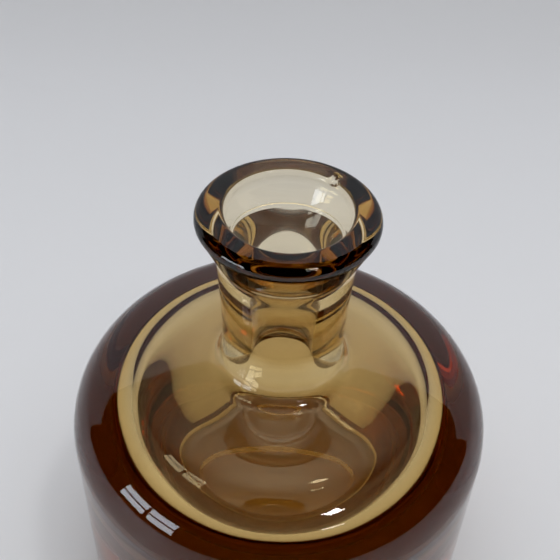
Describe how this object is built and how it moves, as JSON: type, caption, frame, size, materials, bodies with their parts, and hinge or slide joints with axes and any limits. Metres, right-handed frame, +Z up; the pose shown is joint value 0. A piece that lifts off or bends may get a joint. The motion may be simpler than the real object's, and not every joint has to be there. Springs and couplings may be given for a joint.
{
  "type": "glass bottle",
  "caption": "Heavy thick-walled amber glass bottle with a round shoulder, waisted neck and flared applied lip; stands on a flat foot ring.",
  "frame": {"origin": "centre of the foot ring, on the plane that the bottle stands on", "axes": "+Z up along the bottle's axis, from the foot to the mouth; the bottle is round, so X and Y are free"},
  "size_m": [0.12, 0.12, 0.1437],
  "materials": {
    "amber_glass": "thick clear smoke-amber glass, fire-polished and glossy, ground foot ring"
  },
  "bodies": {
    "root": {"base": "amber_glass", "body_wall": "amber_glass", "shoulder": "amber_glass", "neck": "amber_glass", "lip_ring": "amber_glass"}
  },
  "joints": []
}
